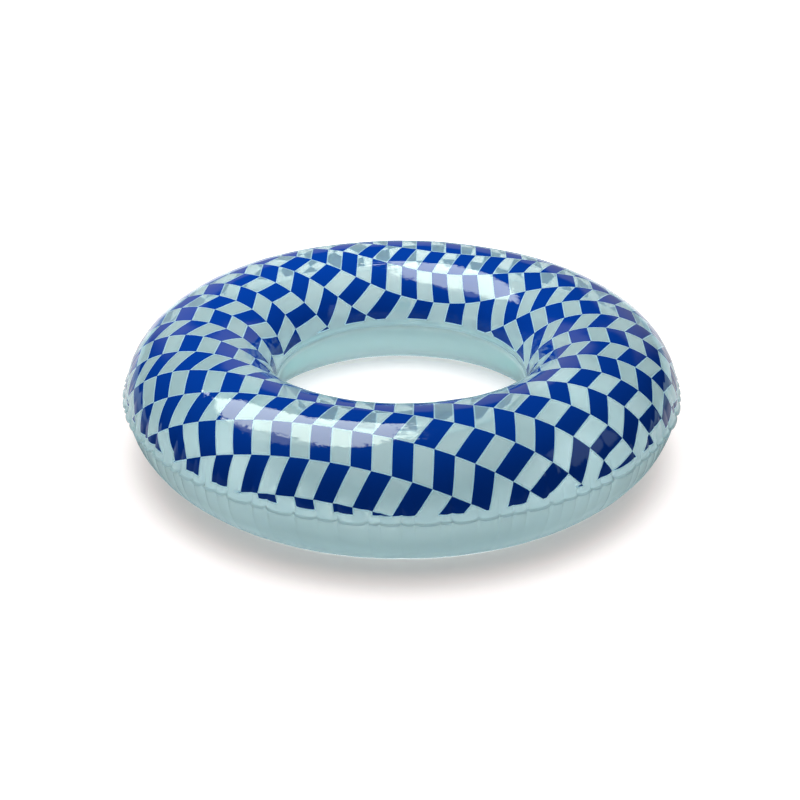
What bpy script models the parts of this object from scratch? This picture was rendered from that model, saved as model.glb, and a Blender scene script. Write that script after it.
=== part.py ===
"""An inflatable swim ring, modelled as it is made: two flat rings of thin PVC film,
welded to each other along an outer and an inner seam and drawn round by the air
inside, with a push-in valve welded into the lower film at the back.

Metres, +Z up. The origin is on the floor, in the middle of the hole. A section
through the tube is an ellipse. A place on it is told by its run: the distance along
the film from the outer seam, up over the crown on the upper film, or down under the
foot on the lower one.
"""

import math

import bmesh
import bpy
import numpy as np
from mathutils import Matrix, Vector

# The inflated ring
OUTER_DIAMETER = 0.900
TUBE_WIDTH = 0.244
TUBE_HEIGHT = 0.2134
FOOT_CUT = 0.0005
SECTION_SAMPLES = 2001

# The film and its welded lips
FILM = 0.0003
LIP_THICKNESS = 0.0006
OUTER_LIP = 0.0040
INNER_LIP = 0.0035
LIP_ROOT = 0.0005
GAP = 0.0003
LIP_GAP = 0.00035

# The outer seam is longer than the ring that it closes, so it gathers into puckers
PUCKERS = 80
STEPS_PER_PUCKER = 3
PUCKER_HANG = 0.0050
PUCKER_SWELL = 0.0042
PUCKER_UNEVENNESS = 0.28
PUCKER_SEED = 11
PUCKER_RUNS = (0.0, 0.008, 0.020)
PUCKER_SHARES = (1.0, 0.72, 0.34)

# The smooth part of the film
COLUMNS = 48
SMOOTH_START = 0.036
UPPER_BANDS = 11
VALVE_RUN = 0.064
LOWER_FLANK_BANDS = 3
LOWER_INNER_BANDS = 6

# The valve, with heights along its axis from the outer face of the film's flat pad
VALVE_COLUMN = 12
PAD_RADIUS = 0.0210
PAD_DEPTH = 0.0012
PAD_STEPS = 24
FILM_HOLE_RADIUS = 0.0110
TURNED_STEPS = 24
FLANGE_RADIUS = 0.0180
FLANGE_BORE = 0.0094
FLANGE_THICKNESS = 0.0008
FLANGE_THICK_RADIUS = 0.0130
SLEEVE_WALL = 0.0005
SLEEVE_DEPTH = 0.0078
COLLAR_RADIUS = 0.0067
COLLAR_THICKNESS = 0.0012
STEM_RADIUS = 0.0060
STEM_BORE = 0.0042
STEM_TOP = 0.0015
STEM_INNER_END = -0.0135
RIM_RADIUS = 0.0071
RIM_THICKNESS = 0.0011
RIM_UNDERCUT = 0.0006
PLUG_RADIUS = 0.0065
PLUG_HEAD = 0.0020
PLUG_SHANK = 0.0039
PLUG_REACH = 0.0065
PLUG_CHAMFER = 0.0005
PLUG_TIP = 0.0033
PLUG_TAPER = 0.0020
STRAP_WIDTH = 0.0040
STRAP_THICKNESS = 0.0008
STRAP_LOOP = 0.0125
STRAP_RISE = 0.0050
STRAP_STEPS = 14
FLAP_RADIUS = 0.0054
FLAP_THICKNESS = 0.0005
FLAP_HINGE = 0.0046
FLAP_STEPS = 20
WELD_DISTANCE = 0.000001
SHARP_ANGLE = 40

TUBE_A = TUBE_WIDTH / 2
TUBE_B = TUBE_HEIGHT / 2
TUBE_CENTRE = OUTER_DIAMETER / 2 - TUBE_A
SEAM_HEIGHT = TUBE_B - FOOT_CUT
UP = 1
DOWN = -1


def clear_scene():
    for obj in list(bpy.data.objects):
        bpy.data.objects.remove(obj)


def material(name, colour, roughness, alpha=1.0):
    """A Principled material of one colour."""
    made = bpy.data.materials.new(name)
    made.use_nodes = True
    shader = made.node_tree.nodes["Principled BSDF"]
    shader.inputs["Base Color"].default_value = (*colour, 1.0)
    shader.inputs["Roughness"].default_value = roughness
    shader.inputs["Metallic"].default_value = 0.0
    shader.inputs["IOR"].default_value = 1.53
    shader.inputs["Alpha"].default_value = alpha
    return made


def place(bm, name, finish, parent=None, location=(0.0, 0.0, 0.0)):
    """Turns a bmesh into a named, smooth-shaded object."""
    mesh = bpy.data.meshes.new(name)
    bm.to_mesh(mesh)
    bm.free()
    mesh.shade_smooth()
    mesh.set_sharp_from_angle(angle=math.radians(SHARP_ANGLE))
    mesh.materials.append(finish)
    obj = bpy.data.objects.new(name, mesh)
    obj.location = location
    obj.parent = parent
    bpy.context.collection.objects.link(obj)
    return obj


def add_wall(obj, thickness, side):
    """Gives a surface its wall. Side -1 puts the wall behind the surface, 0 on both sides of it."""
    wall = obj.modifiers.new("wall", "SOLIDIFY")
    wall.thickness = thickness
    wall.offset = side


def section_angles():
    """Angles over the half of the section that one film covers, and the run at each of them."""
    angles = np.linspace(0.0, math.pi, SECTION_SAMPLES)
    steps = np.hypot(np.diff(TUBE_A * np.cos(angles)), np.diff(TUBE_B * np.sin(angles)))
    return angles, np.concatenate([[0.0], np.cumsum(steps)])


ANGLES, RUNS = section_angles()
HALF_GIRTH = float(RUNS[-1])


def run_angle(run):
    """The ellipse's own angle at a run, 0 at the outer seam and pi at the inner one."""
    return float(np.interp(run, RUNS, ANGLES))


def tube_point(turn, run, side):
    """A point of the film's outer face, cut flat at the foot."""
    angle = run_angle(run)
    radius = TUBE_CENTRE + TUBE_A * math.cos(angle)
    height = SEAM_HEIGHT + side * TUBE_B * math.sin(angle)
    return Vector((radius * math.cos(turn), radius * math.sin(turn), max(height, 0.0)))


def tube_normal(turn, run, side):
    """The outward normal of the section's ellipse at a run."""
    angle = run_angle(run)
    outward = math.cos(angle) / TUBE_A
    upward = side * math.sin(angle) / TUBE_B
    return Vector((outward * math.cos(turn), outward * math.sin(turn), upward)).normalized()


def pucker_columns():
    """The turn of each fine column and how far it is gathered: less than 0 in a pinch, more on a swell.

    Puckers differ in width and depth. Each has one column in its pinch and the others on its swell.
    """
    uneven = np.random.default_rng(PUCKER_SEED)
    widths = 1 + PUCKER_UNEVENNESS * uneven.uniform(-1, 1, PUCKERS)
    depths = 1 + PUCKER_UNEVENNESS * uneven.uniform(-1, 1, PUCKERS)
    starts = np.concatenate([[0.0], np.cumsum(widths)[:-1]]) / widths.sum()
    within = np.arange(STEPS_PER_PUCKER) / STEPS_PER_PUCKER
    turns = 2 * math.pi * (starts[:, None] + (widths / widths.sum())[:, None] * within)
    swell = np.where(within > 0, 1.0, 0.0) - (STEPS_PER_PUCKER - 1) / STEPS_PER_PUCKER
    return turns.ravel(), (depths[:, None] * swell).ravel()


TURNS, GATHERS = pucker_columns()


def pucker_shift(turn, gather, share):
    """How far a pucker moves the film: a swell hangs down and out, a pinch draws up and in."""
    outward = PUCKER_SWELL * gather * share
    return Vector((outward * math.cos(turn), outward * math.sin(turn), -PUCKER_HANG * gather * share))


def smooth_turns():
    return [2 * math.pi * column / COLUMNS for column in range(COLUMNS)]


def face(bm, corners, side):
    """A face whose corners run anticlockwise seen from outside the upper film; the lower one is its mirror."""
    bm.faces.new(corners if side == UP else corners[::-1])


def join_rings(bm, first, second, side):
    """Quads between two closed rings of equal count, the first nearer the outer seam."""
    for here in range(len(first)):
        ahead = (here + 1) % len(first)
        face(bm, [first[here], first[ahead], second[ahead], second[here]], side)


def stitch_rings(bm, many, few, side):
    """Triangles between a fine ring and a coarse one that has a vertex for every few of it."""
    ratio = len(many) // len(few)
    for index, corner in enumerate(few):
        next_corner = few[(index + 1) % len(few)]
        fine = [many[(index * ratio + step) % len(many)] for step in range(ratio + 1)]
        middle = ratio // 2
        for step in range(ratio):
            face(bm, [fine[step], fine[step + 1], corner if step < middle else next_corner], side)
        face(bm, [fine[middle], next_corner, corner], side)


def film_rings(bm, side, smooth_runs):
    """The film's surface: puckered rings at the outer seam, stitched to smooth rings that reach the inner one."""
    half_lip = LIP_THICKNESS / 2 + LIP_GAP
    puckered = []
    for run, share in zip(PUCKER_RUNS, PUCKER_SHARES):
        ring = [
            bm.verts.new(tube_point(turn, max(run, half_lip), side) + pucker_shift(turn, gather, share))
            for turn, gather in zip(TURNS, GATHERS)
        ]
        puckered.append(ring)
    for first, second in zip(puckered, puckered[1:]):
        join_rings(bm, first, second, side)
    smooth = [
        [bm.verts.new(tube_point(turn, min(run, HALF_GIRTH - half_lip), side)) for turn in smooth_turns()]
        for run in smooth_runs
    ]
    stitch_rings(bm, puckered[-1], smooth[0], side)
    for first, second in zip(smooth, smooth[1:]):
        join_rings(bm, first, second, side)
    return smooth


def make_upper_film(finish):
    """The printed upper film, from the outer seam over the crown to the inner seam."""
    bm = bmesh.new()
    film_rings(bm, UP, np.linspace(SMOOTH_START, HALF_GIRTH, UPPER_BANDS + 1))
    add_wall(place(bm, "upper_film", finish), FILM, -1)


def valve_frame():
    """The valve's own frame: x level along the tube, z along the axis and out of the film's pad."""
    turn = 2 * math.pi * VALVE_COLUMN / COLUMNS
    out = tube_normal(turn, VALVE_RUN, DOWN)
    level = Vector((math.sin(turn), -math.cos(turn), 0.0))
    across = out.cross(level)
    origin = tube_point(turn, VALVE_RUN, DOWN) - PAD_DEPTH * out
    turned = Matrix((level, across, out)).transposed().to_4x4()
    return Matrix.Translation(origin) @ turned


def lower_runs():
    """Where the lower film's smooth rings lie. Two of them are the edges of the flat foot."""
    foot_angle = math.asin(1 - FOOT_CUT / TUBE_B)
    foot_start = float(np.interp(foot_angle, ANGLES, RUNS))
    foot_end = HALF_GIRTH - foot_start
    valve_end = 2 * VALVE_RUN - SMOOTH_START
    return np.concatenate(
        [
            [SMOOTH_START, VALVE_RUN],
            np.linspace(valve_end, foot_start, LOWER_FLANK_BANDS + 1),
            np.linspace(foot_end, HALF_GIRTH, LOWER_INNER_BANDS + 1),
        ]
    )


def make_lower_film(finish):
    """The plain lower film, with its flat foot and the flat pad and round hole that take the valve."""
    bm = bmesh.new()
    smooth = film_rings(bm, DOWN, lower_runs())
    before = VALVE_COLUMN - 1
    after = VALVE_COLUMN + 1
    window = [
        smooth[1][after],
        smooth[0][after],
        smooth[0][VALVE_COLUMN],
        smooth[0][before],
        smooth[1][before],
        smooth[2][before],
        smooth[2][VALVE_COLUMN],
        smooth[2][after],
    ]
    bmesh.ops.delete(bm, geom=[smooth[1][VALVE_COLUMN]], context="VERTS")
    frame = valve_frame()
    rings = []
    for radius in (PAD_RADIUS, FILM_HOLE_RADIUS):
        # The ring starts on the side of the window's first corner and goes round the same way.
        angles = [math.pi + 2 * math.pi * step / PAD_STEPS for step in range(PAD_STEPS)]
        rings.append(
            [
                bm.verts.new(frame @ Vector((radius * math.cos(angle), radius * math.sin(angle), 0.0)))
                for angle in angles
            ]
        )
    stitch_rings(bm, rings[0], window, DOWN)
    join_rings(bm, rings[1], rings[0], DOWN)
    add_wall(place(bm, "lower_film", finish), FILM, -1)


def make_outer_weld(finish):
    """The outer lip, where both films are fused to one strip, gathered into the same puckers as they are."""
    bm = bmesh.new()
    rings = []
    for radius in (OUTER_DIAMETER / 2 - LIP_ROOT, OUTER_DIAMETER / 2 + OUTER_LIP):
        ring = [
            bm.verts.new(
                Vector((radius * math.cos(turn), radius * math.sin(turn), SEAM_HEIGHT))
                + pucker_shift(turn, gather, 1.0)
            )
            for turn, gather in zip(TURNS, GATHERS)
        ]
        rings.append(ring)
    join_rings(bm, rings[1], rings[0], UP)
    add_wall(place(bm, "outer_weld", finish), LIP_THICKNESS, 0)


def make_inner_weld(finish):
    """The inner lip, drawn tight round the hole, so that it has no puckers."""
    bm = bmesh.new()
    seam = TUBE_CENTRE - TUBE_A
    rings = [
        [
            bm.verts.new((radius * math.cos(turn), radius * math.sin(turn), SEAM_HEIGHT))
            for turn in smooth_turns()
        ]
        for radius in (seam + LIP_ROOT, seam - INNER_LIP)
    ]
    join_rings(bm, rings[0], rings[1], UP)
    add_wall(place(bm, "inner_weld", finish), LIP_THICKNESS, 0)


def turned_ring(profile):
    """A closed outline of (radius, height) points, turned about the valve's axis."""
    bm = bmesh.new()
    edge = [bm.verts.new((radius, 0.0, height)) for radius, height in profile]
    outline = [bm.edges.new((edge[index], edge[(index + 1) % len(edge)])) for index in range(len(edge))]
    bmesh.ops.spin(
        bm,
        geom=edge + outline,
        axis=(0.0, 0.0, 1.0),
        cent=(0.0, 0.0, 0.0),
        steps=TURNED_STEPS,
        angle=2 * math.pi,
        use_merge=True,
    )
    bmesh.ops.remove_doubles(bm, verts=bm.verts, dist=WELD_DISTANCE)
    bmesh.ops.recalc_face_normals(bm, faces=bm.faces)
    return bm


def make_valve_flange(finish, axis):
    """The valve's disc, welded to the inside of the film's pad."""
    top = -FILM - GAP
    foot = top - FLANGE_THICKNESS
    profile = [
        (FLANGE_BORE, top),
        (FLANGE_RADIUS, top),
        (FLANGE_RADIUS, top - FLANGE_THICKNESS / 2),
        (FLANGE_THICK_RADIUS, foot),
        (FLANGE_BORE, foot),
    ]
    return place(turned_ring(profile), "valve_flange", finish, axis)


def make_valve_sleeve(finish, axis):
    """The soft sleeve that joins the stem to the flange and turns inside out as the stem is pulled."""
    mouth = FLANGE_BORE - GAP
    collar = COLLAR_RADIUS + GAP
    top = -FILM - GAP
    bottom = top - SLEEVE_DEPTH
    profile = [
        (mouth, top),
        (mouth - SLEEVE_WALL, top),
        (collar + SLEEVE_WALL, bottom + COLLAR_THICKNESS),
        (collar, bottom + COLLAR_THICKNESS / 2),
        (collar, bottom),
        (collar + SLEEVE_WALL, bottom),
        (mouth, top - FLANGE_THICKNESS),
    ]
    return place(turned_ring(profile), "valve_sleeve", finish, axis)


def make_valve_stem(finish, axis):
    """The blow-in tube, with the collar that the sleeve holds and the rim that the strap holds."""
    collar_foot = -FILM - GAP - SLEEVE_DEPTH
    collar_top = collar_foot + COLLAR_THICKNESS
    rim_foot = STEM_TOP - RIM_THICKNESS
    profile = [
        (STEM_BORE, STEM_TOP),
        (RIM_RADIUS, STEM_TOP),
        (RIM_RADIUS, rim_foot),
        (STEM_RADIUS, rim_foot - RIM_UNDERCUT),
        (STEM_RADIUS, collar_top),
        (COLLAR_RADIUS, collar_top),
        (COLLAR_RADIUS, collar_foot),
        (STEM_RADIUS, collar_foot),
        (STEM_RADIUS, STEM_INNER_END),
        (STEM_BORE, STEM_INNER_END),
    ]
    return place(turned_ring(profile), "valve_stem", finish, axis)


def make_valve_plug(finish, axis):
    """The stopper: a thumb-sized head on a shank that tapers into the stem's bore."""
    seat = STEM_TOP + GAP
    top = seat + PLUG_HEAD
    tip = seat - PLUG_REACH
    profile = [
        (0.0, top),
        (PLUG_RADIUS - PLUG_CHAMFER, top),
        (PLUG_RADIUS, top - PLUG_CHAMFER),
        (PLUG_RADIUS, seat),
        (PLUG_SHANK, seat),
        (PLUG_SHANK, tip + PLUG_TAPER),
        (PLUG_TIP, tip),
        (0.0, tip),
    ]
    return place(turned_ring(profile), "valve_plug", finish, axis)


def strap_line():
    """The strap's middle line in the valve's frame, a teardrop from the stem's rim out and back to the head."""
    start = Vector((RIM_RADIUS + GAP, 0.0, STEM_TOP - RIM_THICKNESS / 2))
    end = Vector((PLUG_RADIUS + GAP, 0.0, STEM_TOP + GAP + PLUG_HEAD / 2))
    out = start + Vector((STRAP_LOOP, 0.0, 0.0))
    back = end + Vector((STRAP_LOOP, 0.0, STRAP_RISE))
    points = []
    for step in range(STRAP_STEPS + 1):
        t = step / STRAP_STEPS
        s = 1 - t
        points.append(s**3 * start + 3 * s * s * t * out + 3 * s * t * t * back + t**3 * end)
    return points


def make_plug_strap(finish, axis):
    """The strap that keeps the plug on the stem, folded over while the plug is in."""
    bm = bmesh.new()
    line = strap_line()
    half_width = Vector((0.0, STRAP_WIDTH / 2, 0.0))
    rings = []
    for index, point in enumerate(line):
        ahead = line[min(index + 1, STRAP_STEPS)] - line[max(index - 1, 0)]
        if index in (0, STRAP_STEPS):
            ahead = Vector((1.0 if index == 0 else -1.0, 0.0, 0.0))
        raised = Vector((-ahead.z, 0.0, ahead.x)).normalized() * STRAP_THICKNESS / 2
        corners = (raised - half_width, raised + half_width, half_width - raised, -raised - half_width)
        rings.append([bm.verts.new(point + corner) for corner in corners])
    for first, second in zip(rings, rings[1:]):
        join_rings(bm, first, second, UP)
    bm.faces.new(rings[0])
    bm.faces.new(rings[-1][::-1])
    bmesh.ops.recalc_face_normals(bm, faces=bm.faces)
    return place(bm, "plug_strap", finish, axis)


def make_check_flap(finish, axis):
    """The non-return flap over the stem's inner end: a disc with one straight side, which is its hinge."""
    bm = bmesh.new()
    hinge_half = math.acos(FLAP_HINGE / FLAP_RADIUS)
    angles = np.linspace(hinge_half - math.pi, math.pi - hinge_half, FLAP_STEPS)
    outline = [(FLAP_RADIUS * math.cos(angle), FLAP_RADIUS * math.sin(angle)) for angle in angles]
    disc = bm.faces.new([bm.verts.new((x + FLAP_HINGE, y, 0.0)) for x, y in outline])
    grown = bmesh.ops.extrude_face_region(bm, geom=[disc])
    moved = [item for item in grown["geom"] if isinstance(item, bmesh.types.BMVert)]
    bmesh.ops.translate(bm, verts=moved, vec=(0.0, 0.0, -FLAP_THICKNESS))
    bmesh.ops.recalc_face_normals(bm, faces=bm.faces)
    return place(bm, "check_flap", finish, axis, (-FLAP_HINGE, 0.0, STEM_INNER_END - GAP))


def make_valve(finish):
    """Every piece of the valve, on one empty that stands on the film's pad with z along the axis."""
    axis = bpy.data.objects.new("valve_axis", None)
    axis.empty_display_size = 0.02
    axis.matrix_world = valve_frame()
    bpy.context.collection.objects.link(axis)
    make_valve_flange(finish, axis)
    make_valve_sleeve(finish, axis)
    make_valve_stem(finish, axis)
    make_valve_plug(finish, axis)
    make_plug_strap(finish, axis)
    make_check_flap(finish, axis)


def main():
    clear_scene()
    printed = material("printed film", (0.02, 0.09, 0.42), 0.12)
    plain = material("plain film", (0.42, 0.58, 0.58), 0.12, 0.9)
    welded = material("welded lip", (0.58, 0.74, 0.78), 0.2, 0.9)
    moulded = material("moulded valve", (0.60, 0.72, 0.73), 0.25, 0.85)
    make_upper_film(printed)
    make_lower_film(plain)
    make_outer_weld(welded)
    make_inner_weld(welded)
    make_valve(moulded)


main()
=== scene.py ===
"""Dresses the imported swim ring: finer films and lips, a turned valve, procedural PVC, a stage and a camera.

Metres, +Z up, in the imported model's frame. A place on a film is told by its turn, the angle round the hole,
and its run, the distance along the film from the outer seam.
"""

import math

import bpy
import numpy as np
from bpy.props import FloatProperty, FloatVectorProperty, IntProperty, PointerProperty
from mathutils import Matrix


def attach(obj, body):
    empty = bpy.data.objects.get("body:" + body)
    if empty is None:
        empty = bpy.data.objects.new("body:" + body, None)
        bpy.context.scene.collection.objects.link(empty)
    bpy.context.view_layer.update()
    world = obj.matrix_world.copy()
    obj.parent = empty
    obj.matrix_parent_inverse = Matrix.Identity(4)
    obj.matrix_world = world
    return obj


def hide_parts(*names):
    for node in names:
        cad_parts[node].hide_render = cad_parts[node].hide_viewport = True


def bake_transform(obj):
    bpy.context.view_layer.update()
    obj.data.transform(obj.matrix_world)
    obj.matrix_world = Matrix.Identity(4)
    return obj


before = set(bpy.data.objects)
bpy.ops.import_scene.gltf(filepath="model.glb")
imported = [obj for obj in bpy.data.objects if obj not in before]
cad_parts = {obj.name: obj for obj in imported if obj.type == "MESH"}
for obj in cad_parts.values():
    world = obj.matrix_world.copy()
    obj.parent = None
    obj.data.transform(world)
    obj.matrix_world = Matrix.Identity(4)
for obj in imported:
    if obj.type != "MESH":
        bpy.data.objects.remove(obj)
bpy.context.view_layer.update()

bl_info = {
    "name": "Swim Ring",
    "version": (1, 0, 0),
    "blender": (4, 5, 0),
    "location": "View3D > Sidebar > Swim Ring",
    "description": "Builds an inflatable swim ring of two welded films with its push-in valve",
    "category": "Mesh",
}

UP = 1
DOWN = -1
SECTION_SAMPLES = 2001

# The print on the flat sheet: the sheet's span, the slope of the rows, how far the sides of even and odd rows
# lean, and the place that the rows and columns are counted from.
SHEET_SPAN = 1.2
ROW_SLOPE = 0.2905
EVEN_LEAN = 0.0018
ODD_LEAN = 0.0306
CHECK_ORIGIN = (0.02805, 0.1079)

# The films' net: columns between two pinches, runs of its fine and middle rows, and the number of inner ones.
COLUMNS_PER_PUCKER = 16
FINE_RUNS = np.concatenate([[0.0003, 0.0012], np.linspace(0.0028, 0.030, 10)])
MIDDLE_RUNS = np.linspace(0.030, 0.130, 19)[1:]
INNER_ROWS = 20

# The lips: how far they start inside their seam, their corners' radius, and the steps round the inner one.
LIP_ROOT = 0.0012
LIP_ROUND = 0.0002
INNER_LIP_STEPS = 480

# The valve's place on the lower film, and its distance from the ring's middle.
VALVE_TURN = math.pi / 2
VALVE_RUN = 0.064
VALVE_DISTANCE = 0.4294

# The window cut for the valve: half its columns, its reach to lower and higher runs, and how far out towards
# its edge the first rings lie that fill it.
WINDOW_HALF = 12
WINDOW_REACH = (0.036, 0.033)
WINDOW_RINGS = (0.72, 0.42, 0.17)

# The flat pad that the film is welded to, how many of its radii its pull on the film reaches, and its rings.
PAD_DEPTH = 0.0012
PAD_RADIUS = 0.021
PAD_PULL = 2.1
PAD_RINGS = (PAD_RADIUS, 0.0185, 0.016, 0.0135, 0.0122, 0.011)

# Heights along the valve's axis, from the pad's outer face outwards.
FLANGE_TOP = -0.0006
COLLAR_FOOT = -0.0084
STEM_TOP = 0.0015
STEM_FOOT = -0.0135
PLUG_SEAT = 0.0018
TURNED_STEPS = 96

# The softbox that gloss sees: its lit face and the dim patch at its lower left, as corners on a level sheet,
# and the low and high corners of that sheet.
SOFTBOX_FACE = ((0.04, 0.80), (-1.17, 0.96), (-1.31, 0.24), (-0.47, -0.36), (-0.16, -0.22), (0.03, 0.04))
SOFTBOX_DIM = ((-0.46, -0.36), (-1.31, 0.24), (-1.12, -0.40))
SOFTBOX_SHEET = ((-2.6, -1.6), (1.2, 2.4))
SOFTBOX_TINT = (0.90, 1.0, 0.88)
SOFTBOX_HEIGHT = 1.5
SOFTBOX_RADIANCE = 9.75
SOFTBOX_DIM_RADIANCE = 2.1

# The dim card at the right, with its patch as shares of the sheet, and what a card gives outside its patches.
SIDE_SHEET = ((0.80, -0.68, 0.32), (0.98, -0.20, 0.32), (0.98, -0.20, 0.88), (0.80, -0.68, 0.88))
SIDE_PATCH = ((0.04, 0.04), (0.96, 0.10), (0.90, 0.94), (0.10, 0.90))
SIDE_TINT = (0.62, 0.86, 1.0)
SIDE_RADIANCE = 1.0
CARD_BASE = 0.01

# The floor, and the painted light that it gives off: under the tube, seen through the films, and seen
# plainly.
FLOOR_REACH = 15.0
FLOOR_LEVEL = -0.0003
UNDER_GLOW = 1.1
HIDDEN_GLOW = 0.56
FLOOR_LIFT = 0.14

# The camera, with its tilt in degrees from straight down and its lens and sensor in millimetres.
CAMERA_PLACE = (-0.0028, -1.8201, 1.0316)
CAMERA_TILT = 61.938
CAMERA_LENS = 55.152
CAMERA_SENSOR = 36.0


def length(name, default, description):
    return FloatProperty(name=name, default=default, description=description, unit="LENGTH", precision=5)


def colour(name, default, description):
    return FloatVectorProperty(
        name=name, default=default, description=description, subtype="COLOR", size=3, min=0.0, max=1.0
    )


class RingSizes(bpy.types.PropertyGroup):
    """The inflated ring, its films and its welded lips."""

    outer_diameter: length("Outer diameter", 0.900, "Across the ring at its outer seam")
    tube_width: length("Tube width", 0.244, "From the inner seam to the outer one")
    tube_height: length("Tube height", 0.2134, "Height of the tube's section before its foot is flattened")
    foot_cut: length("Foot cut", 0.0005, "How much of the section the floor flattens")
    film: length("Film", 0.0003, "Thickness of the PVC film")
    lip_thickness: length("Lip thickness", 0.0006, "Thickness of the two films fused into one")
    outer_lip: length("Outer lip", 0.0026, "Width of the fused strip at the outer seam")
    inner_lip: length("Inner lip", 0.0014, "Width of the fused strip in the hole")


class PuckerSizes(bpy.types.PropertyGroup):
    """The gathers of the outer seam, which is longer than the ring that it closes."""

    count: IntProperty(name="Puckers", default=96, min=40, description="How many gathers lie round the seam")
    seed: IntProperty(name="Seed", default=11, description="Chooses the puckers that aren't measured")
    lift: length("Lift", 0.0083, "How far the gathers raise the seam above mid-height")
    hang: length("Hang", 0.0021, "How far the widest swell hangs below the seam")
    swell: length("Swell", 0.0012, "How far a swell stands out")
    flare: length("Flare", 0.0022, "How far both films turn outwards to meet in the lip")
    pinch: length("Pinch", 0.0030, "How deep a pinch is drawn in")
    crease: length("Crease", 0.0020, "Half width of a crease at the seam")


class PrintSizes(bpy.types.PropertyGroup):
    """The zigzag check, laid out on the flat sheet before the ring is cut."""

    cell: length("Cell", 0.03017, "Width of one cell along its row")
    row: length("Row", 0.05927, "Height of one row")
    outline: length("Outline", 0.0019, "Width of the pale line beside the blue cells")
    outer_margin: length("Outer margin", 0.0155, "Unprinted film at the outer seam")
    inner_margin: length("Inner margin", 0.0125, "Unprinted film at the inner seam")


class Finishes(bpy.types.PropertyGroup):
    """Colours, in linear light."""

    ink: colour("Ink", (0.001, 0.049, 0.372), "The opaque blue ink")
    pale: colour("Pale", (0.55, 0.785, 0.81), "The milky tint of the printed film's pale cells")
    outline: colour("Outline", (0.62, 0.90, 1.0), "The pale line beside the blue cells")
    film: colour("Film", (0.57, 0.75, 0.73), "The plain lower film")
    lip: colour("Lip", (0.66, 0.86, 0.90), "The fused lips")
    moulded: colour("Moulded", (0.60, 0.82, 0.84), "The valve's soft moulding")


class RingSettings(bpy.types.PropertyGroup):
    """Every size and colour of the ring."""

    ring: PointerProperty(type=RingSizes)
    pucker: PointerProperty(type=PuckerSizes)
    print: PointerProperty(type=PrintSizes)
    finish: PointerProperty(type=Finishes)


def settings():
    return bpy.context.scene.swim_ring


def smooth(value, start, end):
    """0 before start, 1 after end, and a cubic ease between them."""
    t = np.clip((value - start) / (end - start), 0.0, 1.0)
    return t * t * (3.0 - 2.0 * t)


def section():
    """The half ellipse that a film covers: its angles from the outer seam to the inner, and the run at each.

    The run is the sum of the chords between neighbouring angles of the ellipse a cos, b sin.
    """
    size = settings().ring
    angles = np.linspace(0.0, math.pi, SECTION_SAMPLES)
    chords = np.hypot(
        np.diff(size.tube_width / 2 * np.cos(angles)), np.diff(size.tube_height / 2 * np.sin(angles))
    )
    return angles, np.concatenate([[0.0], np.cumsum(chords)])


def half_girth():
    return float(section()[1][-1])


def round_hole(turn, radius, height):
    """Points from cylindrical coordinates: radius cos turn, radius sin turn, height."""
    return np.stack(np.broadcast_arrays(radius * np.cos(turn), radius * np.sin(turn), height), axis=-1)


def smooth_film(turn, run, side):
    """A film before it puckers, and its normal: a half ellipse carried round the hole, with a flat foot."""
    size = settings().ring
    a = size.tube_width / 2
    b = size.tube_height / 2
    angle = np.interp(run, *section()[::-1])
    radius = size.outer_diameter / 2 - a + a * np.cos(angle)
    height = np.maximum(b - size.foot_cut + side * b * np.sin(angle), 0.0)
    out = np.cos(angle) / a
    up = side * np.sin(angle) / b
    steep = np.hypot(out, up)
    return radius, height, out / steep, up / steep


# Turn in degrees, depth as a share of the mean and reach in millimetres of each pinch measured at the front.
FRONT_PINCHES = (
    (-149.0, 1.2, 30), (-144.6, 1.6, 42), (-140.7, 0.7, 20), (-137.9, 1.2, 55), (-135.2, 1.4, 24),
    (-131.3, 0.5, 40), (-128.4, 1.4, 26), (-125.4, 0.5, 38), (-122.9, 1.2, 42), (-117.5, 0.8, 38),
    (-114.4, 0.8, 34), (-109.0, 1.0, 40), (-104.8, 0.6, 34), (-101.2, 0.8, 40), (-95.8, 0.9, 44),
    (-93.8, 0.3, 14), (-90.1, 0.8, 44), (-87.8, 0.4, 14), (-83.4, 0.3, 14), (-81.4, 1.0, 44),
    (-76.8, 0.6, 20), (-73.0, 0.8, 26), (-70.4, 0.5, 20), (-67.7, 0.7, 26), (-63.0, 0.9, 40),
    (-60.2, 0.3, 14), (-57.2, 0.6, 40), (-53.9, 0.7, 24), (-51.4, 0.3, 14), (-48.0, 1.4, 44),
    (-41.5, 0.5, 24), (-39.2, 0.5, 40), (-35.8, 0.7, 40), (-32.4, 0.8, 24), (-29.4, 0.6, 24),
)


def pinches():
    """The uneven pinches round the seam: turn, depth and reach of each.

    The front ones are measured. The rest fill the way round with seeded draws: gaps and depths are e to a
    normal draw, the depths kept from 0.25 to 1, and reaches are even on a logarithmic scale.
    """
    size = settings().pucker
    front = np.array(FRONT_PINCHES)
    draw = np.random.default_rng(size.seed)
    rest = size.count - len(front)
    gaps = np.exp(draw.normal(0.0, 0.38, rest + 1))
    start, end = math.radians(front[-1, 0]), math.radians(front[0, 0] + 360.0)
    turns = start + (end - start) * np.cumsum(gaps)[:-1] / gaps.sum()
    depths = np.clip(np.exp(draw.normal(-0.70, 0.40, rest)), 0.25, 1.0)
    reaches = np.exp(draw.uniform(math.log(0.014), math.log(0.050), rest))
    turns = np.mod(np.concatenate([np.radians(front[:, 0]), turns]), 2 * math.pi)
    order = np.argsort(turns)
    depths = np.concatenate([front[:, 1], depths])
    reaches = np.concatenate([front[:, 2] / 1000.0, reaches])
    return turns[order], depths[order], reaches[order]


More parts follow.
